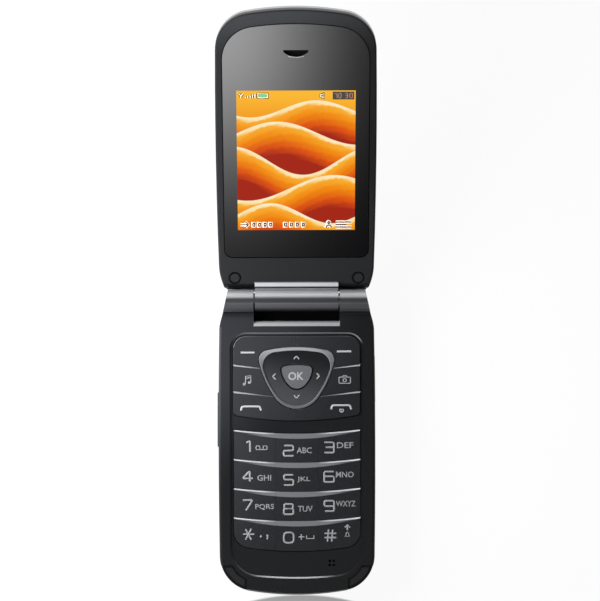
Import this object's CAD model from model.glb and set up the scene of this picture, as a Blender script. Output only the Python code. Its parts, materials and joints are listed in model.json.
import json
from math import cos, pi, radians, sin, tan

import bmesh
import bpy
from mathutils import Euler, Matrix, Vector
from mathutils.bvhtree import BVHTree


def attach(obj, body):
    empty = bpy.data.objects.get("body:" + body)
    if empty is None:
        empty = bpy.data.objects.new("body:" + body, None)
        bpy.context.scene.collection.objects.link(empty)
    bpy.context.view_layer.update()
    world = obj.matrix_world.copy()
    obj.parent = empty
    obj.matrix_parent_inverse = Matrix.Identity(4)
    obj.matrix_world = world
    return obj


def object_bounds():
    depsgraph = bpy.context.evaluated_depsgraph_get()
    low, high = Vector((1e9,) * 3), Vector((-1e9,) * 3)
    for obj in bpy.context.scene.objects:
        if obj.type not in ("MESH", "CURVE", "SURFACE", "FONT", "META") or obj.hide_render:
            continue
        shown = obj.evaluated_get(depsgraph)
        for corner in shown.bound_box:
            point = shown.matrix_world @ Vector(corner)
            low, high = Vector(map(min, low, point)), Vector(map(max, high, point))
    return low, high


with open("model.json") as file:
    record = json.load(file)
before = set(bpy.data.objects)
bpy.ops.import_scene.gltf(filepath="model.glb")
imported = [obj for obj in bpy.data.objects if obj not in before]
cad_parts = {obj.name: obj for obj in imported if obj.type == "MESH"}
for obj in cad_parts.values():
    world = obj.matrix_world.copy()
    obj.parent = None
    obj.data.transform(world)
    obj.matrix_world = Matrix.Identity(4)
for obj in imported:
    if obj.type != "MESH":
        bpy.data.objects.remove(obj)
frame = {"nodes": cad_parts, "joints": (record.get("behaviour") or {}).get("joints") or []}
cad_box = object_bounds()

# Lengths of the keypad and the lid are written in millimetres and made metres by MM.
MM = 0.001

# ---- Places taken from the frame ------------------------------------------------------------------
hinge = next(joint for joint in frame["joints"] if joint["name"] == "lid_hinge")
HINGE = Vector(hinge["pos_m"])
LID_TILT = pi - radians(hinge["range_deg"][1])
LID_FRAME = Matrix.Translation(HINGE) @ Matrix.Rotation(LID_TILT, 4, "X")
BASE_FRAME = Matrix.Translation((0, HINGE.y, 0))

# ---- Camera and light -----------------------------------------------------------------------------
CAMERA_HEIGHT = 0.6596
CAMERA_X = 1.05 * MM
CAMERA_ROLL = radians(-0.15)
CAMERA_RANGE = (0.01, 20.0)
SENSOR = 36.0
LENS = 126.9
FLOOR_SIZE = 3.0
FLOOR_DROP = 0.02 * MM  # below the lowest face
FLOOR_GLOW = 0.93
MIRROR_MIDDLE = (1.2, -157.8)  # soft reflection of the foot, in millimetres from the hinge axis
MIRROR_RADIUS = 66.0
MIRROR_FADE = 14.0
MIRROR_SPAN = (-106.0, -93.0)
MIRROR_SHARE = 0.65
MIRROR_VIEW = (0.05, 0.12)  # layer weights between which it fades, so that it shows from above alone
ZENITH = 0.08
HORIZON_LEFT = 0.8
HORIZON_RIGHT = 0.15
HORIZON_FOOT = 0.45  # share of it that is left towards the foot
FAR_GLOW = 2.3
SIDE_LAMP = Vector((-0.14, 0.045, 0.08))
SIDE_LAMP_SIZE = 0.1
SIDE_LAMP_POWER = 0.78
PANEL_AIM = Vector((0, 0.095, 0.028))  # middle of the window
PANEL_WAY = Vector((0, -0.59, 0.81))
PANEL_DISTANCE = 0.8
PANEL_SIZE = 0.5
GLOW_PLACE = (-0.055, 0.085)
GLOW_SPREAD = (0.062, 0.092)
GLOW_STRENGTH = 5.0

# ---- Surface grain --------------------------------------------------------------------------------
MOULD_GRAIN = 0.02 * MM
SPARKLE_GRAIN = 0.03 * MM
BRUSH_GRAIN = 0.01 * MM

# ---- Places of the finishes, in millimetres from the hinge axis; spans run from low to high --------
BARREL_SPAN = (-3.1, 3.9)
KNUCKLE_SHADOW = (-6.0, -3.4)
HUMP_SPAN = (4.5, 5.1, 5.7, 6.2)
NECK_HALF = (12.75, 12.85)
LIP_SPAN = (-7.9, -7.8, -6.2, -6.1)
LIP_HALF = (13.1, 13.3)
ROLLED_EDGE = (5.2, 5.5)  # the lid's dark edge ends here
LID_EDGE = (6.5, 8.5)  # and its side edges start here
OPENING_HALF = (20.5, 21.0)  # half width of the walls round the keys
TRAY_HALF = (21.0, 21.5)
TRAY_SPAN = (-86.0, -85.5, -9.5, -9.0)
TRAY_FLOOR = (9.0, 9.08)  # heights above the base's underside
FOOT_MIDDLE = -1.5  # middle and reach of the dull stretch of the foot's edge
FOOT_REACH = 14.0
FOOT_SPAN = (-60.0, -50.0)
EDGE_TILT = (0.85, 0.97)  # upright share of the normal, below which a face is an edge
SCREW_CAP = (18.85, 7.3)
SCREW_CAP_RIM = (1.25, 1.5)
CORNER_PAD = (12.8, -78.3)  # middle of the corner's arc
CORNER_PAD_CORE = (7.7, 8.4, 9.6, 10.3)  # distances from it
CORNER_PAD_END = (15.8, 16.6)
CORNER_PAD_TOP = (-82.3, -81.5)

# ---- Keys, in millimetres: half width of a number row, its upper edge, sag and pitch ----------------
ROW_HALF = 19.4
ROW_TOP = 39.66
ROW_SAG = 1.2
ROW_PITCH = 8.96
ROW_CREST = (0.3, 0.5)  # pale line along a row's upper edge
SEPARATOR = (-38.5, -37.5)  # between the function keys and the first number row
SOFT_KEYS_TOP = (-17.0, -15.0)

# ---- Picture on the display -------------------------------------------------------------------------
PICTURE = (-17.7, 17.7, 22.7, 66.1)
# Height, swing, wave number and shift of each crest, from the farthest dune to the nearest.
DUNES = ((60.5, 2.6, 0.16, 0.6), (53.0, 3.6, 0.13, 2.3), (44.5, 4.4, 0.15, 4.4),
         (36.0, 4.0, 0.12, 0.2), (28.0, 3.2, 0.17, 2.9))
DUNE_DEPTH = 12.0
SKY_SPAN = (52.0, 68.0)

# ---- Layers over the display, in millimetres above the window's sunken top, lowest first -------------
WINDOW_TOP = -0.2
PLATE_DEPTH = 0.02
PICTURE_LIFT = 0.02
FIELD_LIFT = 0.035
SHADE_LIFT = 0.038
HALO_LIFT = 0.04
CHARGE_LIFT = 0.045
SIGN_LIFT = 0.05
SOFT_LIFT = 0.055
SHADE_SPREAD = 0.55  # how much wider a dark shade is than its sign
HALO_SPREAD = 0.6

# ---- Legends --------------------------------------------------------------------------------------
LEGEND_GREY = "86878A"
LEGEND_WHITE = "A8A9AC"
DIGIT_STROKE = 0.58
DASH_STROKE = 0.62
SIGN_STROKE = 0.42
ICON_STROKE = 0.36
FINE_STROKE = 0.3
PAINT_HEIGHT = 0.02
PAINT_REACH = 50.0 * MM  # paint is laid down from this height
CORNER = 0.55
CORNER_STEPS = 4


# ---- Colour and shader helpers --------------------------------------------------------------------
def linear(code):
    """Scene-linear colour of a six-digit screen colour."""
    channels = [int(code[i:i + 2], 16) / 255 for i in (0, 2, 4)]
    flat = [c / 12.92 if c <= 0.04045 else ((c + 0.055) / 1.055) ** 2.4 for c in channels]
    return (*flat, 1.0)


def distance(across, along):
    """How far a point is from a middle, from its offsets."""
    return (across * across + along * along).maths("SQRT")


class Value:
    """A number in a shader; an expression on it adds its Math nodes."""

    def __init__(self, shader, socket):
        self.shader = shader
        self.socket = socket

    def maths(self, operation, *others):
        return self.shader.node("Math", {"operation": operation}, dict(enumerate((self, *others))))

    def reflected(self, operation, other):
        return self.shader.node("Math", {"operation": operation}, {0: other, 1: self})

    def __add__(self, other):
        return self.maths("ADD", other)

    def __sub__(self, other):
        return self.maths("SUBTRACT", other)

    def __mul__(self, other):
        return self.maths("MULTIPLY", other)

    def __truediv__(self, other):
        return self.maths("DIVIDE", other)

    def __rsub__(self, other):
        return self.reflected("SUBTRACT", other)

    def __rtruediv__(self, other):
        return self.reflected("DIVIDE", other)

    __radd__ = __add__
    __rmul__ = __mul__

    def __neg__(self):
        return self * -1

    def __abs__(self):
        return self.maths("ABSOLUTE")

    def wave(self):
        return self.maths("SINE")

    def ramp(self, low, high):
        """0 below low and 1 above high, smooth between."""
        settings = {"interpolation_type": "SMOOTHSTEP", "clamp": True}
        return self.shader.node("MapRange", settings, {0: self, 1: low, 2: high})

    def fade(self, low, high):
        """1 below low and 0 above high, smooth between."""
        return self.ramp(high, low)

    def span(self, low, full_low, full_high, high):
        """1 between the two full places, 0 outside the outer two."""
        return self.ramp(low, full_low) * self.fade(full_high, high)


class Shader:
    """One material, or the world, and the nodes in it."""

    def __init__(self, name, kind="Material"):
        store = bpy.data.worlds if kind == "World" else bpy.data.materials
        self.kind = kind
        self.material = store.new(name)
        self.material.use_nodes = True
        self.tree = self.material.node_tree
        self.tree.nodes.clear()

    def node(self, kind, settings, inputs, output=0):
        """Adds a node; gives the chosen output."""
        node = self.tree.nodes.new("ShaderNode" + kind)
        stops = settings.get("stops")
        for key, value in settings.items():
            if key != "stops":
                setattr(node, key, value)
        if stops:
            while len(node.color_ramp.elements) < len(stops):
                node.color_ramp.elements.new(0.5)
            for element, (place, colour) in zip(node.color_ramp.elements, stops):
                element.position = place
                element.color = colour
        for key, value in inputs.items():
            if isinstance(value, Value):
                self.tree.links.new(value.socket, node.inputs[key])
            else:
                node.inputs[key].default_value = value
        return Value(self, node.outputs[output])

    def place(self, matrix=None, scale=1 / MM):
        """Object coordinates in millimetres, in the frame of a matrix."""
        here = self.node("TexCoord", {}, {}, "Object")
        inverse = (matrix or Matrix()).inverted()
        return self.node("Mapping", {}, {
            "Vector": here,
            "Location": inverse.translation * scale,
            "Rotation": inverse.to_euler(),
            "Scale": (scale, scale, scale),
        })

    def split(self, vector):
        """The three parts of a vector."""
        parts = self.node("SeparateXYZ", {}, {0: vector})
        outputs = parts.socket.node.outputs
        return [Value(self, outputs[i]) for i in range(3)]

    def noise(self, vector, scale, detail=2.0, roughness=0.5):
        inputs = {"Vector": vector, "Scale": scale, "Detail": detail, "Roughness": roughness}
        return self.node("TexNoise", {}, inputs, "Fac")

    def normal(self):
        """Direction in which the surface faces."""
        return self.node("TexCoord", {}, {}, "Normal")

    def facing(self, matrix):
        """How far the surface faces the matrix's Z axis: 1 for flat, 0 for upright."""
        up = matrix.to_3x3() @ Vector((0, 0, 1))
        return self.node("VectorMath", {"operation": "DOT_PRODUCT"}, {0: self.normal(), 1: up}, "Value")

    def mix(self, factor, first, second):
        """Colour between two: the first at 0 and the second at 1."""
        return self.node("Mix", {"data_type": "RGBA"}, {0: factor, 6: first, 7: second}, 2)

    def bump(self, height, strength, depth):
        return self.node("Bump", {}, {"Strength": strength, "Distance": depth, "Height": height})

    def surface(self, inputs):
        """Ends the material in a Principled shader."""
        return self.finish(self.node("BsdfPrincipled", {}, inputs))

    def finish(self, shade):
        """Links the last shader to the output; gives the material."""
        output = self.tree.nodes.new("ShaderNodeOutput" + self.kind)
        self.tree.links.new(shade.socket, output.inputs["Surface"])
        return self.material


# ---- Materials ------------------------------------------------------------------------------------
def moulded(name, dark, light, roughness, grain, coat=0.0, specular=0.5):
    """Moulded or painted plastic: cloudy colour, fine grain and uneven gloss."""
    shader = Shader(name)
    place = shader.place()
    cloud = shader.noise(place, 0.07, 3.0)
    speck = shader.noise(place, 9.0, 2.0)
    colour = shader.mix(cloud.ramp(0.3, 0.7) * 0.7 + speck * 0.3, linear(dark), linear(light))
    gloss = roughness + (cloud - 0.5) * 0.08 + (speck - 0.5) * 0.06
    return shader.surface({
        "Base Color": colour,
        "Roughness": gloss,
        "Coat Weight": coat,
        "Coat Roughness": 0.08,
        "Specular IOR Level": specular,
        "Normal": shader.bump(speck, grain, MOULD_GRAIN),
    })


def key_finish():
    """Painted keycaps: sparkling dark paint, and lighter bevels on the sides that face the hinge."""
    shader = Shader("key_paint")
    speck = shader.noise(shader.place(), 5.0, 4.0, 0.8)
    x, along, _ = shader.split(shader.place(BASE_FRAME))
    lit = (along * 0.5 - x).ramp(-34.0, 10.0)
    face = shader.mix(lit, linear("0B0C0E"), linear("2B2B2F"))
    face = shader.mix(speck.ramp(0.3, 0.7) * 0.5, face, linear("36373B"))
    tilt = shader.split(shader.normal())[1]
    bevel = tilt.ramp(0.08, 0.14) * (0.3 + along.fade(*SOFT_KEYS_TOP) * 0.7)
    outward = x * x
    sag = ROW_SAG * (1 - outward / ROW_HALF ** 2)
    below = (-along - ROW_TOP - sag).maths("FLOORED_MODULO", ROW_PITCH)
    crest = below.fade(*ROW_CREST) * outward.ramp(20, 120)
    trim = shader.mix(outward.ramp(70, 280), linear("66676B"), linear("3A3B3E"))
    trim = shader.mix(crest, trim, linear("B0B1B4"))
    separator = shader.mix(outward.ramp(80, 260), linear("626366"), linear("9C9DA0"))
    trim = shader.mix(along.ramp(*SEPARATOR), trim, separator)
    return shader.surface({
        "Base Color": shader.mix(bevel, face, trim),
        "Roughness": 0.42 + (speck - 0.5) * 0.08,
        "Metallic": bevel * 0.2,
        "Specular IOR Level": 0.4,
        "Normal": shader.bump(speck, 0.3, SPARKLE_GRAIN),
    })


def satin_metal(shader, along, seam, bright):
    """Satin metal round the hinge, darker along its seam."""
    away = along - seam
    return shader.mix((away * away).fade(0.1, 1.8), linear(bright), linear("4A4B4E"))


def cover_finish():
    """Moulded front cover with polished knuckles and hinge lip, and edges worn a little brighter."""
    shader = Shader("cover_paint")
    place = shader.place(BASE_FRAME)
    speck = shader.noise(place, 5.0, 3.0)
    x, along, height = shader.split(place)
    lit = (x * -1.3 + along * 1.15).ramp(-39.4, 3.9)
    matt = shader.mix(lit, linear("0F1011"), linear("2A2B2F"))
    matt = shader.mix(speck * 0.35, matt, linear("1E1F22"))
    matt = shader.mix(along.ramp(*KNUCKLE_SHADOW) * 0.8, matt, linear("040405"))
    barrel = along.ramp(BARREL_SPAN[0] - 0.3, BARREL_SPAN[0])
    satin = satin_metal(shader, along, -0.1, "B4B5B8")
    satin = shader.mix(along.fade(-1.2, -0.2), satin, linear("5C5D60"))
    across = abs(x)
    polish = barrel + along.span(*LIP_SPAN) * across.fade(*LIP_HALF)
    flat = shader.facing(BASE_FRAME)
    aside, towards, _ = shader.split(shader.normal())
    tilted = flat.fade(*EDGE_TILT)
    beside = x - FOOT_MIDDLE
    foot = (beside * beside).fade(1.0, FOOT_REACH ** 2).maths("MAXIMUM", along.ramp(*FOOT_SPAN))
    rear = along.fade(BARREL_SPAN[0] - 2.5, BARREL_SPAN[0] - 1.5)
    worn = rear * (towards.ramp(0.2, 0.6) * foot + towards.fade(-0.6, -0.2) * 0.5)
    edge = tilted * flat.ramp(0.1, 0.4) * worn
    inner = tilted * across.fade(*OPENING_HALF)
    tray = across.fade(*TRAY_HALF) * along.span(*TRAY_SPAN)
    deep = tray * height.fade(*TRAY_FLOOR)
    turned = inner * aside.fade(-0.4, -0.1)
    shade = shader.mix(turned * 0.85, matt, linear("040405"))
    pale = inner * aside.ramp(0.1, 0.4) * (0.15 + along.ramp(-60.0, -30.0) * 0.35)
    shade = shader.mix(pale, shade, linear("4A4B4E"))
    shade = shader.mix(edge * 0.8, shade, linear("A9AAAD"))
    shade = shader.mix(deep, shade, linear("020202"))
    return shader.surface({
        "Base Color": shader.mix(polish, shade, shader.mix(barrel, linear("C8C9CC"), satin)),
        "Metallic": polish * 0.6 + (1 - polish) * edge * 0.5,
        "Roughness": 0.42 + (speck - 0.5) * 0.1 + turned * 0.4,
        "Specular IOR Level": 0.4,
        "Normal": shader.bump(speck, 0.15, MOULD_GRAIN),
    })


def lid_frame_finish():
    """Moulded inner frame with a polished neck and a dark rolled edge beside it."""
    shader = Shader("lid_frame_paint")
    place = shader.place(LID_FRAME)
    speck = shader.noise(place, 5.0, 3.0)
    x, along, _ = shader.split(place)
    near = 0.2 - x * 0.002 - along.ramp(25.0, 45.0) * x.ramp(0.0, 24.0) * 0.2
    lit = near + ((-x).ramp(-52.0, 4.0) - near) * along.ramp(76.0, 90.0)
    matt = shader.mix(lit, linear("0B0C0D"), linear("3F4043"))
    matt = shader.mix(speck * 0.35, matt, linear("222326"))
    matt = shader.mix(along.ramp(*ROLLED_EDGE), linear("040405"), matt)
    neck = abs(x).fade(*NECK_HALF)
    hump = neck * along.span(*HUMP_SPAN)
    polish = neck * along.fade(BARREL_SPAN[1], BARREL_SPAN[1] + 0.4) * (1 - hump)
    satin = satin_metal(shader, along, 1.1, "BEBFC2")
    satin = shader.mix(along.fade(0.0, 0.6), satin, linear("66676A"))
    satin = shader.mix(along.fade(-2.6, -0.6), satin, linear("08080A"))
    edge = shader.facing(LID_FRAME).fade(*EDGE_TILT) * along.ramp(*LID_EDGE)
    shade = shader.mix(edge * 0.85, matt, linear("060607"))
    shade = shader.mix(hump, shade, linear("A9AAAE"))
    return shader.surface({
        "Base Color": shader.mix(polish, shade, satin),
        "Metallic": polish * 0.6,
        "Roughness": 0.42 + (speck - 0.5) * 0.1,
        "Specular IOR Level": 0.4,
        "Normal": shader.bump(speck, 0.15, MOULD_GRAIN),
    })


def case_finish():
    """Silver-grey paint outside; the inner sides, which face up, stay black."""
    shader = Shader("case_paint")
    place = shader.place()
    cloud = shader.noise(place, 0.07, 3.0)
    speck = shader.noise(place, 9.0, 2.0)
    inside = shader.facing(BASE_FRAME).ramp(0.5, 0.8)
    outer = shader.mix(cloud.ramp(0.3, 0.7) * 0.7 + speck * 0.3, linear("B0B1B4"), linear("BEBFC2"))
    return shader.surface({
        "Base Color": shader.mix(inside, outer, linear("040405")),
        "Metallic": 0.6 * (1 - inside),
        "Roughness": 0.42 + (speck - 0.5) * 0.08 + inside * 0.2,
        "Specular IOR Level": 0.1,
        "Normal": shader.bump(speck, 0.1, MOULD_GRAIN),
    })


def rubber_finish():
    """Soft rubber, darker round the rim of each pad."""
    shader = Shader("soft_rubber")
    place = shader.place(BASE_FRAME)
    speck = shader.noise(place, 9.0, 2.0)
    x, along, _ = shader.split(place)
    across = abs(x)
    reach = distance(across - CORNER_PAD[0], along - CORNER_PAD[1])
    core = reach.span(*CORNER_PAD_CORE) * across.ramp(*CORNER_PAD_END) * along.fade(*CORNER_PAD_TOP)
    face = shader.mix(speck, linear("1A1A1B"), linear("252526"))
    return shader.surface({
        "Base Color": shader.mix(core, linear("050505"), face),
        "Roughness": 0.62 + (speck - 0.5) * 0.08,
        "Specular IOR Level": 0.3,
        "Normal": shader.bump(speck, 0.3, MOULD_GRAIN),
    })


def cap_finish():
    """Rubber screw caps of the frame's own colour, each with a dark rim."""
    shader = Shader("cap_rubber")
    place = shader.place(LID_FRAME)
    speck = shader.noise(place, 9.0, 2.0)
    x, along, _ = shader.split(place)
    rim = distance(abs(x) - SCREW_CAP[0], along - SCREW_CAP[1]).ramp(*SCREW_CAP_RIM)
    face = shader.mix(speck, linear("1E1F21"), linear("28292B"))
    return shader.surface({
        "Base Color": shader.mix(rim, face, linear("030303")),
        "Roughness": 0.55 + (speck - 0.5) * 0.08,
        "Specular IOR Level": 0.3,
        "Normal": shader.bump(speck, 0.3, MOULD_GRAIN),
    })


def ring_finish():
    """Plated ring, brightest on its upper side and dimmer towards its point."""
    shader = Shader("nav_plating")
    x, along, _ = shader.split(shader.place(BASE_FRAME))
    speck = shader.noise(shader.place(), 9.0, 2.0)
    lit = (along - x * x * 0.035).ramp(-26.0, -15.5) * (1 - x.ramp(4.0, 12.0) * 0.5)
    colour = shader.mix(lit, linear("656669"), linear("A0A1A4"))
    return shader.surface({
        "Base Color": colour,
        "Metallic": 0.3,
        "Roughness": 0.3 + (speck - 0.5) * 0.08,
        "Normal": shader.bump(speck, 0.1, MOULD_GRAIN),
    })


def ok_finish():
    """Sparkling silver paint of the OK key, dark round its rim."""
    shader = Shader("ok_paint")
    speck = shader.noise(shader.place(), 5.0, 4.0, 0.8)
    flat = shader.facing(BASE_FRAME)
    face = shader.mix(speck.ramp(0.3, 0.7), linear("47484B"), linear("646569"))
    return shader.surface({
        "Base Color": shader.mix(flat.fade(0.93, 0.985), face, linear("0A0A0B")),
        "Roughness": 0.38 + (speck - 0.5) * 0.1,
        "Specular IOR Level": 0.5,
        "Normal": shader.bump(speck, 0.4, SPARKLE_GRAIN),
    })


def pad_finish():
    """Satin paint of the navigation pad, paler towards its point."""
    shader = Shader("pad_paint")
    place = shader.place(BASE_FRAME)
    speck = shader.noise(place, 9.0, 2.0)
    x, along, _ = shader.split(place)
    lit = (-along - x * 0.25).ramp(15.0, 33.5)
    colour = shader.mix(lit, linear("121315"), linear("404144"))
    return shader.surface({
        "Base Color": shader.mix(speck * 0.3, colour, linear("1D1E20")),
        "Roughness": 0.34 + (speck - 0.5) * 0.08,
        "Specular IOR Level": 0.5,
        "Normal": shader.bump(speck, 0.2, MOULD_GRAIN),
    })


def brushed_metal(name, dark, light, roughness):
    """Plated or turned metal with fine lines along X."""
    shader = Shader(name)
    place = shader.place()
    x, y, z = shader.split(place)
    along = shader.node("CombineXYZ", {}, {0: x * 0.15, 1: y, 2: z})
    lines = shader.noise(along, 6.0, 3.0)
    colour = shader.mix(lines, linear(dark), linear(light))
    return shader.surface({
        "Base Color": colour,
        "Metallic": 1.0,
        "Roughness": roughness + (lines - 0.5) * 0.12,
        "Normal": shader.bump(lines, 0.08, BRUSH_GRAIN),
    })


def paint(name, colour, strength=0.0):
    """Printed legends: even paint with a little grain; strength makes it glow behind the keycap."""
    shader = Shader(name)
    speck = shader.noise(shader.place(), 14.0, 2.0)
    shade = shader.mix(speck * 0.35, linear(colour), linear("8A8B8E"))
    return shader.surface({
        "Base Color": shade,
        "Roughness": 0.45 + speck * 0.1,
        "Emission Color": shade,
        "Emission Strength": strength,
    })


def window_glass():
    """Black-backed acrylic over the display, polished, with a faint grain in its backing."""
    shader = Shader("window_acrylic")
    place = shader.place(LID_FRAME)
    speck = shader.noise(place, 12.0, 2.0)
    shade = shader.mix(speck, linear("070708"), linear("101012"))
    return shader.surface({
        "Base Color": shade,
        "Roughness": 0.07 + speck * 0.03,
        "Specular IOR Level": 0.6,
        "Coat Weight": 0.6,
        "Coat Roughness": 0.03,
    })


def wallpaper():
    """Generic picture: layered dunes in warm colours, each with a pale crest and a red hollow below."""
    shader = Shader("wallpaper")
    place = shader.place(LID_FRAME)
    x, along, _ = shader.split(place)
    grain = shader.noise(place, 0.6, 4.0, 0.6)
    picture = shader.mix(along.ramp(*SKY_SPAN), linear("F08C0C"), linear("FFBE32"))
    for height, swing, wave, shift in DUNES:
        line = (x * wave + shift).wave() * swing + height + (grain - 0.5) * 0.15
        depth = line - along
        ripple = (depth * 3.2 + x * 0.6 + grain * 5).wave() * 0.018
        body = shader.node("ValToRGB", {"stops": [
            (0.0, linear("FFF1CF")), (0.07, linear("FFE3A6")), (0.12, linear("FBB02E")),
            (0.32, linear("F58E06")), (0.62, linear("DE5206")), (0.85, linear("A5240F")),
        ]}, {0: depth / DUNE_DEPTH + ripple + (grain - 0.5) * 0.08})
        picture = shader.mix(depth.ramp(-0.12, 0.12), picture, body)
    return shader.surface({
        "Base Color": linear("050505"),
        "Emission Color": picture,
        "Emission Strength": 0.97,
        "Roughness": 0.3,
        "Specular IOR Level": 0.1,
    })


def floor_finish():
    """Pale floor that shows white and keeps the shadow, with a soft reflection at the foot."""
    shader = Shader("floor_paper")
    speck = shader.noise(shader.place(), 0.02, 2.0)
    x, along, _ = shader.split(shader.place(BASE_FRAME))
    reach = distance(x - MIRROR_MIDDLE[0], along - MIRROR_MIDDLE[1])
    gloss = shader.node("LayerWeight", {}, {"Blend": 0.5}, "Facing").fade(*MIRROR_VIEW)
    mirror = reach.fade(MIRROR_RADIUS - 0.3, MIRROR_RADIUS + 0.5)
    mirror = mirror * reach.ramp(MIRROR_RADIUS - MIRROR_FADE, MIRROR_RADIUS)
    mirror = mirror * along.ramp(*MIRROR_SPAN) * gloss
    shade = shader.mix(speck, linear("F4F4F4"), linear("FCFCFC"))
    matte = shader.node("BsdfDiffuse", {}, {"Color": shade})
    white = shader.mix(mirror * MIRROR_SHARE, linear("FFFFFF"), linear("000000"))
    glow = shader.node("Emission", {}, {"Color": white})
    rays = shader.node("LightPath", {}, {}).socket.node.outputs
    camera_ray, glossy_ray, transmission_ray = [
        Value(shader, rays[kind]) for kind in ("Is Camera Ray", "Is Glossy Ray", "Is Transmission Ray")]
    share = (camera_ray + glossy_ray + transmission_ray) * FLOOR_GLOW
    return shader.finish(shader.node("MixShader", {}, {0: share, 1: matte, 2: glow}))


# ---- Piece helpers --------------------------------------------------------------------------------
def add_object(name, mesh, finish, body):
    """Puts a finished mesh in the scene on the body that carries it."""
    piece = bpy.data.objects.new(name, mesh)
    mesh.materials.clear()
    mesh.materials.append(finish)
    bpy.context.scene.collection.objects.link(piece)
    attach(piece, body)
    return piece


def mesh_of(curve):
    """The mesh of a curve or text, with the curve removed."""
    holder = bpy.data.objects.new("curve", curve)
    mesh = bpy.data.meshes.new_from_object(holder)
    bpy.data.objects.remove(holder)
    return mesh


def rounded(points, radius, closed=False):
    """Replaces each inner corner of a line by an arc of points."""
    places = [Vector(point) for point in points]
    count = len(places)
    line = []
    for index, corner in enumerate(places):
        if not closed and index in (0, count - 1):
            line.append(corner)
            continue
        before = places[index - 1] - corner
        after = places[(index + 1) % count] - corner
        half_turn = (pi - before.angle(after)) / 2
        reach = min(radius * min(tan(half_turn), 1), before.length * 0.48, after.length * 0.48)
        start = corner + before.normalized() * reach
        end = corner + after.normalized() * reach
        for step in range(CORNER_STEPS + 1):
            share = step / CORNER_STEPS
            line.append(start * (1 - share) ** 2 + corner * 2 * share * (1 - share) + end * share ** 2)
    return line


def circle_line(x, y, radius, start=0.0, end=2 * pi, steps=16):
    """Points of an arc; the last is left out when it closes."""
    full = abs(end - start - 2 * pi) < 0.001
    angles = [start + (end - start) * step / steps for step in range(steps if full else steps + 1)]
    return [(x + radius * cos(angle), y + radius * sin(angle)) for angle in angles]


def oblong(x, y, half_x, half_y):
    """Corners of a rectangle round its middle."""
    return [(x + side_x * half_x, y + side_y * half_y)
            for side_x, side_y in ((-1, -1), (1, -1), (1, 1), (-1, 1))]


def stroke_mesh(lines, width):
    """Rounded paint strokes along flat lines of (points, closed), in millimetres."""
    curve = bpy.data.curves.new("strokes", "CURVE")
    curve.dimensions = "3D"
    curve.bevel_depth = width / 2
    curve.bevel_resolution = 1
    curve.use_fill_caps = True
    for points, closed in lines:
        spline = curve.splines.new("POLY")
        spline.points.add(len(points) - 1)
        for point, place in zip(spline.points, points):
            point.co = (place[0], place[1], 0, 1)
        spline.use_cyclic_u = closed
    mesh = mesh_of(curve)
    mesh.transform(Matrix.Diagonal((1, 1, 2 * PAINT_HEIGHT / width, 1)))
    return mesh


def text_mesh(words, box):
    """Plain lettering fitted to a box (left, right, low, high), in millimetres."""
    curve = bpy.data.curves.new("letters", "FONT")
    curve.body = words
    curve.size = 1.0
    curve.resolution_u = 3
    curve.extrude = 0.5
    curve.offset = 0.012
    mesh = mesh_of(curve)
    xs = [vertex.co.x for vertex in mesh.vertices]
    ys = [vertex.co.y for vertex in mesh.vertices]
    left, right, low, high = box
    wide = (right - left) / (max(xs) - min(xs))
    tall = (high - low) / (max(ys) - min(ys))
    shift = Matrix.Translation((-min(xs), -min(ys), 0))
    size = Matrix.Diagonal((wide, tall, 2 * PAINT_HEIGHT, 1))
    mesh.transform(Matrix.Translation((left, low, 0)) @ size @ shift)
    return mesh


def join_meshes(meshes):
    """One mesh of several."""
    whole = bmesh.new()
    for mesh in meshes:
        whole.from_mesh(mesh)
        bpy.data.meshes.remove(mesh)
    joined = bpy.data.meshes.new("joined")
    whole.to_mesh(joined)
    whole.free()
    return joined


def surface_of(node):
    """Search tree of a CAD node, to lay paint on it."""
    mesh = frame["nodes"][node].data
    places = [vertex.co.copy() for vertex in mesh.vertices]
    return BVHTree.FromPolygons(places, [tuple(face.vertices) for face in mesh.polygons])


def lay(mesh, node):
    """Moves a flat mesh in millimetres to the keypad and lays it on the node below it."""
    mesh.transform(BASE_FRAME @ Matrix.Scale(MM, 4))
    tree = surface_of(node)
    for vertex in mesh.vertices:
        above = Vector((vertex.co.x, vertex.co.y, PAINT_REACH))
        top = tree.ray_cast(above, Vector((0, 0, -1)))[0]
        if top is not None:
            vertex.co = top + Vector((0, 0, vertex.co.z + PAINT_HEIGHT / 2 * MM))
    return mesh


def print_on(name, mesh, node, body, finish):
    """Printed sign laid on a node's surface."""
    return add_object(name, lay(mesh, node), finish, body)


# ---- Digits and signs -----------------------------------------------------------------------------
# Each digit is drawn in a square from (0, 0) to (1, 1): lines of points, True where a line closes.
DIGITS = {
    "0": [([(0, 0), (1, 0), (1, 1), (0, 1)], True)],
    "1": [([(0, 0.80), (0.95, 1), (0.95, 0)], False)],
    "2": [([(0.03, 1), (1, 1), (1, 0.52), (0, 0.50), (0, 0), (1, 0)], False)],
    "3": [([(0, 1), (1, 1), (1, 0), (0, 0)], False), ([(0.15, 0.52), (1, 0.52)], False)],
    "4": [([(0.72, 0), (0.72, 1), (0, 0.27), (1, 0.27)], False)],
    "5": [([(0.97, 1), (0.03, 1), (0.03, 0.54), (1, 0.54), (1, 0), (0, 0)], False)],
    "6": [([(0.95, 1), (0, 1), (0, 0), (1, 0), (1, 0.54), (0, 0.54)], False)],
    "7": [([(0, 1), (1, 1), (0.32, 0)], False)],
    "8": [([(0.05, 0.53), (0.05, 1), (0.95, 1), (0.95, 0.53)], True),
          ([(0, 0), (0, 0.53), (1, 0.53), (1, 0)], True)],
    "9": [([(0.05, 0), (1, 0), (1, 1), (0, 1), (0, 0.48), (1, 0.48)], False)],
}
STAR = [([(cos(a), sin(a)), (-cos(a), -sin(a))], False) for a in (0, pi / 3, 2 * pi / 3)]
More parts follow.
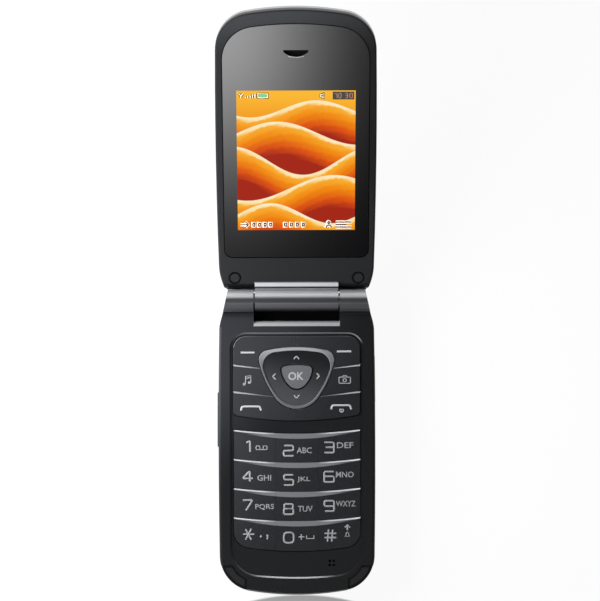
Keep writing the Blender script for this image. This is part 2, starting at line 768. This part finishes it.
HASH = [([(0.25, -1), (0.45, 1)], False), ([(-0.45, -1), (-0.25, 1)], False),
        ([(-1, 0.35), (1, 0.35)], False), ([(-1, -0.35), (1, -0.35)], False)]


def fit_lines(lines, box, stroke, corner=CORNER):
    """Scales unit lines into a box (left, right, low, high), inside its edges by half a stroke."""
    left, right, low, high = box
    fitted = []
    for points, closed in lines:
        places = [(left + stroke / 2 + x * (right - left - stroke),
                   low + stroke / 2 + y * (high - low - stroke)) for x, y in points]
        fitted.append((rounded(places, corner, closed), closed))
    return fitted


def centred(lines, x, y, half_x, half_y):
    """Scales lines drawn between -1 and 1 and moves them to a middle."""
    return [([(x + px * half_x, y + py * half_y) for px, py in points], closed)
            for points, closed in lines]


def tape_sign():
    """Two reels and the tape below them."""
    reel_places = (-11.95, -9.75)
    reel_middle, reel_half, reel_corner = -45.2, (0.6, 0.55), 0.3
    reels = [(rounded(oblong(x, reel_middle, *reel_half), reel_corner, True), True) for x in reel_places]
    tape = [([(x, reel_middle - reel_half[1]) for x in reel_places], False)]
    return stroke_mesh(reels + tape, FINE_STROKE)


def number_legends():
    """Digit and letters of each number key."""
    digit_height, letter_height = 3.75, 1.8
    rows = (-46.75, -55.75, -64.7)
    slim_one = (-15.8, -14.0)
    # For each column: the digits' left and right ends, their drop and the lift of the letters.
    columns = ((-16.95, -13.3, 0.0, 0.45), (-4.35, -0.8, 1.25, 1.1), (8.1, 11.7, 0.3, 1.7))
    letters = {"2": ("ABC", -0.1, 4.5), "3": ("DEF", 12.25, 17.3), "4": ("GHI", -12.2, -7.95),
               "5": ("JKL", 0.0, 4.1), "6": ("MNO", 11.95, 17.4), "7": ("PQRS", -12.85, -7.1),
               "8": ("TUV", 0.2, 4.75), "9": ("WXYZ", 11.95, 17.95)}
    for index in range(9):
        digit = str(index + 1)
        row, column = divmod(index, 3)
        left, right, drop, lift = columns[column]
        low = rows[row] - drop
        high = low + digit_height
        if digit == "1":
            left, right, high = slim_one[0], slim_one[1], high + 0.3
        lines = fit_lines(DIGITS[digit], (left, right, low, high), DIGIT_STROKE)
        parts = [stroke_mesh(lines, DIGIT_STROKE)]
        if digit in letters:
            words, near, far = letters[digit]
            foot = low + lift
            parts.append(text_mesh(words, (near, far, foot, foot + letter_height)))
        else:
            parts.append(tape_sign())
        print_on("legend_" + digit, join_meshes(parts), "key_" + digit, "key_" + digit, legend_paint)


def foot_row_legends():
    """Star, nought and hash with their small signs."""
    star = stroke_mesh(centred(STAR, -14.95, -71.75, 1.75, 1.9), DIGIT_STROKE * 0.9)
    stops = [(circle_line(x, y, 0.14, steps=8), True) for x, y in ((-11.1, -72.4), (-9.1, -72.2))]
    tail = [([(-8.95, -72.3), (-9.25, -73.3)], False)]
    parts = [star, stroke_mesh(stops, 0.5), stroke_mesh(tail, 0.4)]
    print_on("legend_star", join_meshes(parts), "key_star", "key_star", legend_paint)

    nought = fit_lines(DIGITS["0"], (-4.35, -0.75, -74.7, -70.95), DIGIT_STROKE, 2 * CORNER)
    plus = [([(0.4, -72.6), (2.2, -72.6)], False), ([(1.3, -71.7), (1.3, -73.5)], False)]
    space = [([(2.9, -72.1), (2.9, -73.1), (5.2, -73.1), (5.2, -72.1)], False)]
    parts = [stroke_mesh(nought, DIGIT_STROKE), stroke_mesh(plus + space, ICON_STROKE)]
    print_on("legend_0", join_meshes(parts), "key_0", "key_0", legend_paint)

    hash_sign = stroke_mesh(centred(HASH, 10.15, -72.2, 1.85, 1.85), DIGIT_STROKE * 0.9)
    arrow = [([(14.7, -69.75), (15.45, -68.9), (16.2, -69.75)], False),
             ([(15.45, -69.1), (15.45, -70.6)], False)]
    bell = [([(14.75, -72.5), (15.05, -72.1), (15.05, -71.5), (15.45, -71.2), (15.85, -71.5),
              (15.85, -72.1), (16.15, -72.5)], True)]
    parts = [hash_sign, stroke_mesh(arrow, 0.5), stroke_mesh(bell, FINE_STROKE)]
    print_on("legend_hash", join_meshes(parts), "key_hash", "key_hash", legend_paint)


def soft_key_dashes():
    """A dash on each soft key."""
    dashes = {"left": [(-17.2, -15.95), (-13.0, -15.95)], "right": [(12.3, -15.7), (16.7, -15.65)]}
    for side, points in dashes.items():
        node = "key_soft_" + side
        print_on("dash_" + side, stroke_mesh([(points, False)], DASH_STROKE), node, node, bright_paint)


def handset(left, low):
    """Line of a handset from its left end, 6.1 mm long and 1.2 mm high."""
    points = [(left, low), (left + 0.3, low + 1.2), (left + 5.8, low + 1.2), (left + 6.1, low)]
    return stroke_mesh([(rounded(points, 0.9), False)], DASH_STROKE)


def function_legends():
    """Signs on the function keys and round the navigation key."""
    soft_key_dashes()
    note = [([(-15.7, -25.6), (-15.7, -23.3), (-14.1, -23.0), (-14.1, -25.1)], False),
            ([(-15.7, -23.9), (-14.1, -23.6)], False)]
    note += [(circle_line(x, y, 0.28, steps=8), True) for x, y in ((-16.15, -25.65), (-14.55, -25.15))]
    print_on("sign_music", stroke_mesh(note, ICON_STROKE), "key_music", "key_music", legend_paint)

    camera_body = rounded(oblong(14.75, -24.5, 1.75, 0.95), 0.3, True)
    camera_sign = [(camera_body, True), (circle_line(14.75, -24.5, 0.5), True),
                   ([(14.05, -23.55), (14.25, -23.1), (15.25, -23.1), (15.45, -23.55)], False)]
    camera_mesh = stroke_mesh(camera_sign, FINE_STROKE)
    print_on("sign_camera", camera_mesh, "key_camera", "key_camera", legend_paint)

    print_on("sign_send", handset(-17.1, -33.7), "key_send", "key_send", bright_paint)
    power = [(circle_line(13.75, -33.75, 0.55, radians(120), radians(420), 12), False),
             ([(13.75, -33.3), (13.75, -33.8)], False)]
    parts = [handset(10.6, -33.4), stroke_mesh(power, 0.26)]
    print_on("sign_end", join_meshes(parts), "key_end", "key_end", bright_paint)

    chevrons = [[(-0.85, -18.0), (-0.05, -17.05), (0.75, -18.0)],
                [(-0.85, -29.05), (-0.05, -30.05), (0.75, -29.05)],
                [(-6.45, -22.4), (-7.35, -23.3), (-6.45, -24.2)],
                [(6.15, -22.3), (7.05, -23.2), (6.15, -24.1)]]
    arrows = [(rounded(points, 0.35), False) for points in chevrons]
    print_on("sign_arrows", stroke_mesh(arrows, SIGN_STROKE), "nav_pad", "nav_key", legend_paint)
    print_on("sign_ok", text_mesh("OK", (-2.6, 2.1, -24.4, -22.0)), "ok_key", "ok_key", bright_paint)


# ---- Display --------------------------------------------------------------------------------------
def on_lid(mesh, lift):
    """Turns a flat lid mesh in millimetres into place, above the window by lift."""
    mesh.transform(LID_FRAME @ Matrix.Scale(MM, 4) @ Matrix.Translation((0, 0, WINDOW_TOP + lift)))
    return mesh


def display_plate(name, box, lift, finish):
    """Thin plate in millimetres over a box (left, right, low, high)."""
    left, right, low, high = box
    middle = Matrix.Translation(((left + right) / 2, (low + high) / 2, 0))
    size = Matrix.Diagonal((right - left, high - low, PLATE_DEPTH, 1))
    form = bmesh.new()
    bmesh.ops.create_cube(form, size=1.0, matrix=middle @ size)
    mesh = bpy.data.meshes.new("plate")
    form.to_mesh(mesh)
    form.free()
    return add_object(name, on_lid(mesh, lift), finish, "lid")


def display_strokes(name, lines, width, lift, finish):
    """Strokes painted over the display."""
    return add_object(name, on_lid(stroke_mesh(lines, width), lift), finish, "lid")


def display_sign(name, lines, width):
    """Pale strokes over darker, wider ones."""
    display_strokes(name + "_shade", lines, width + SHADE_SPREAD, SHADE_LIFT, shade_paint)
    display_strokes(name, lines, width, SIGN_LIFT, status_paint)


def status_signs():
    """Aerial and bars, battery and sound signs along the display's far edge."""
    aerial = [([(-16.9, 65.2), (-16.3, 64.5), (-15.7, 65.2)], False),
              ([(-16.3, 64.5), (-16.3, 63.85)], False)]
    bars = [([(-15.0 + 0.72 * i, 63.85), (-15.0 + 0.72 * i, 64.1 + 0.28 * i)], False) for i in range(5)]
    display_sign("sign_signal", aerial + bars, 0.3)
    display_sign("sign_battery", [(oblong(-9.85, 64.55, 1.45, 0.62), True)], 0.28)
    horn = [(7.3, 64.25), (7.7, 64.25), (8.3, 63.75), (8.3, 65.25), (7.7, 64.8), (7.3, 64.8)]
    display_sign("sign_sound", [(horn, True)], 0.3)
    display_plate("battery_charge", (-11.3, -8.4, 63.95, 65.15), CHARGE_LIFT, battery_paint)


def clock():
    """Dark field with four figures and a colon."""
    display_plate("clock_field", (10.9, 17.3, 63.35, 65.75), FIELD_LIFT, shade_paint)
    stroke = 0.24
    figures = []
    for digit, left in (("1", 11.4), ("0", 12.6), ("3", 14.5), ("0", 15.9)):
        figures += fit_lines(DIGITS[digit], (left, left + 1.0, 63.7, 65.4), stroke)
    figures += [([(14.05, y), (14.06, y)], False) for y in (64.1, 64.9)]
    display_strokes("clock_figures", figures, stroke, SIGN_LIFT, clock_paint)


def soft_signs():
    """Signs over the soft keys and the OK key: arrow and pages, menu tiles, contact and lines."""
    arrow = [([(-16.9, 24.4), (-14.5, 24.4)], False),
             ([(-15.4, 25.3), (-14.5, 24.4), (-15.4, 23.5)], False)]
    person = [(circle_line(9.8, 25.0, 0.3), True), (circle_line(9.8, 23.5, 0.75, 0, pi, 8), False)]
    lines = [([(11.9, y), (11.9 + length, y)], False)
             for y, length in ((25.2, 4.8), (24.4, 3.4), (23.6, 4.8))]
    tile_places = (-12.9, -11.2, -9.5, -7.8, -3.3, -1.5, 0.3, 2.1)
    tiles = [(oblong(x, 24.4, 0.28, 0.45), True) for x in tile_places]
    for name, strokes, width in (("soft_signs", arrow + person + lines, 0.45), ("soft_tiles", tiles, 0.6)):
        display_strokes(name + "_halo", strokes, width + HALO_SPREAD, HALO_LIFT, halo_paint)
        display_strokes(name, strokes, width, SOFT_LIFT, shade_paint)


def display_pieces():
    """Lit picture with its signs, and the pale lip of the earpiece slot above it."""
    display_plate("display_picture", PICTURE, PICTURE_LIFT, wallpaper())
    status_signs()
    clock()
    lip = [(-2.3, 76.5), (-1.2, 76.22), (0, 76.13), (1.2, 76.22), (2.3, 76.5)]
    laid = on_lid(stroke_mesh([(lip, False)], 0.26), 0.0)
    add_object("earpiece_lip", laid, bright_paint, "lid")
    soft_signs()


# ---- Stage ----------------------------------------------------------------------------------------
def area_light(name, place, aim, size, power):
    """Square lamp that no surface mirrors."""
    lamp = bpy.data.lights.new(name, "AREA")
    lamp.size = size
    lamp.energy = power
    holder = bpy.data.objects.new(name, lamp)
    holder.location = place
    holder.rotation_euler = (Vector(aim) - Vector(place)).to_track_quat("-Z", "Y").to_euler()
    holder.visible_glossy = False
    bpy.context.scene.collection.objects.link(holder)
    return holder


def sheet(name, size, finish):
    """Square sheet of the stage."""
    form = bmesh.new()
    bmesh.ops.create_grid(form, x_segments=1, y_segments=1, size=size / 2)
    mesh = bpy.data.meshes.new(name)
    form.to_mesh(mesh)
    form.free()
    mesh.materials.append(finish)
    holder = bpy.data.objects.new(name, mesh)
    bpy.context.scene.collection.objects.link(holder)
    return holder


def stage():
    """Floor, studio light and the soft box that the window mirrors."""
    floor = sheet("floor", FLOOR_SIZE, floor_finish())
    floor.location.z = cad_box[0].z - FLOOR_DROP
    bpy.context.scene.world = studio_world()
    area_light("side_lamp", SIDE_LAMP, (0, HINGE.y, 0), SIDE_LAMP_SIZE, SIDE_LAMP_POWER)
    window_panel()


def studio_world():
    """Dark overhead and pale round the horizon, brightest beyond the lid and dark to the right."""
    shader = Shader("studio", "World")
    x, y, z = shader.split(shader.node("TexCoord", {}, {}, "Generated"))
    low = 1 - z.ramp(0.5, 0.93)
    sides = HORIZON_LEFT + (HORIZON_RIGHT - HORIZON_LEFT) * x.ramp(-0.4, 0.5)
    foot = HORIZON_FOOT + (1 - HORIZON_FOOT) * y.ramp(-0.5, 0.1)
    far = y.ramp(0.45, 0.65) * z.fade(0.3, 0.5)
    strength = ZENITH + low * sides * foot + far * FAR_GLOW
    return shader.finish(shader.node("Background", {}, {"Color": (1, 1, 1, 1), "Strength": strength}))


def panel_glow():
    """Light that is strongest at the window's upper left and fades to black."""
    shader = Shader("panel_glow")
    x, along, _ = shader.split(shader.place(scale=1))
    spread = distance((x - GLOW_PLACE[0]) / GLOW_SPREAD[0], (along - GLOW_PLACE[1]) / GLOW_SPREAD[1])
    bell = (-(spread * spread)).maths("EXPONENT")
    colour = shader.mix(bell, linear("000000"), linear("FFFFFF"))
    return shader.finish(shader.node("Emission", {}, {"Color": colour, "Strength": GLOW_STRENGTH}))


def window_panel():
    """Soft box beyond the camera's view, which the window mirrors."""
    panel = sheet("panel", PANEL_SIZE, panel_glow())
    panel.location = PANEL_AIM + PANEL_WAY.normalized() * PANEL_DISTANCE
    panel.rotation_euler = (-PANEL_WAY).to_track_quat("-Z", "Y").to_euler()
    panel.visible_camera = False


def camera():
    """Camera straight above the hinge."""
    lens = bpy.data.cameras.new("camera")
    lens.lens = LENS
    lens.sensor_width = SENSOR
    lens.clip_start, lens.clip_end = CAMERA_RANGE
    holder = bpy.data.objects.new("camera", lens)
    holder.location = (CAMERA_X, HINGE.y, CAMERA_HEIGHT)
    holder.rotation_euler = Euler((0, 0, CAMERA_ROLL))
    bpy.context.scene.collection.objects.link(holder)
    bpy.context.scene.camera = holder


# ---- Dress the frame ------------------------------------------------------------------------------
camera()
stage()
bpy.context.scene.view_settings.view_transform = "Standard"

slot_names = {name: node.data.materials[0].name.split(".")[0]
              for name, node in frame["nodes"].items()}
finishes = {
    "cover_plastic": cover_finish(),
    "case_plastic": case_finish(),
    "lid_frame_plastic": lid_frame_finish(),
    "key_plastic": key_finish(),
    "nav_metal": ring_finish(),
    "ok_plastic": ok_finish(),
    "window_plastic": window_glass(),
    "display_glass": moulded("panel_glass", "0A0A0B", "101012", 0.2, 0.05),
    "rubber": rubber_finish(),
    "steel": brushed_metal("zinc_steel", "8C8D90", "B4B5B8", 0.32),
    "gold_board": moulded("solder_mask", "123A22", "1B5230", 0.35, 0.2),
    "film": moulded("dome_film", "B98B3A", "D6A64A", 0.35, 0.1),
    "silicone": moulded("silicone_mat", "8E9094", "A4A6AA", 0.6, 0.2),
    "battery_wrap": moulded("battery_wrap", "3B3D45", "4A4C55", 0.4, 0.1),
    "black_plastic": moulded("black_moulding", "141416", "1C1C1F", 0.5, 0.2),
    "mesh_metal": moulded("mesh_cloth", "070708", "121214", 0.6, 0.3, specular=0.2),
    "lens_glass": moulded("lens_glass", "050508", "0B0B10", 0.08, 0.02, coat=1.0),
}
legend_paint = paint("legend_grey", LEGEND_GREY)
bright_paint = paint("legend_white", LEGEND_WHITE)
status_paint = paint("status_white", "F0E2B8", 0.6)
clock_paint = paint("status_amber", "9A6434", 0.4)
battery_paint = paint("status_green", "4E9A62", 0.6)
shade_paint = paint("status_dark", "1A0D06", 0.05)
halo_paint = paint("status_halo", "F2D9C4", 0.7)

for name, node in frame["nodes"].items():
    node.data.materials[0] = finishes[slot_names[name]]
frame["nodes"]["nav_pad"].data.materials[0] = pad_finish()
frame["nodes"]["lid_screw_caps"].data.materials[0] = cap_finish()
frame["nodes"]["microphone"].data.materials[0] = finishes["mesh_metal"]

number_legends()
foot_row_legends()
function_legends()
display_pieces()
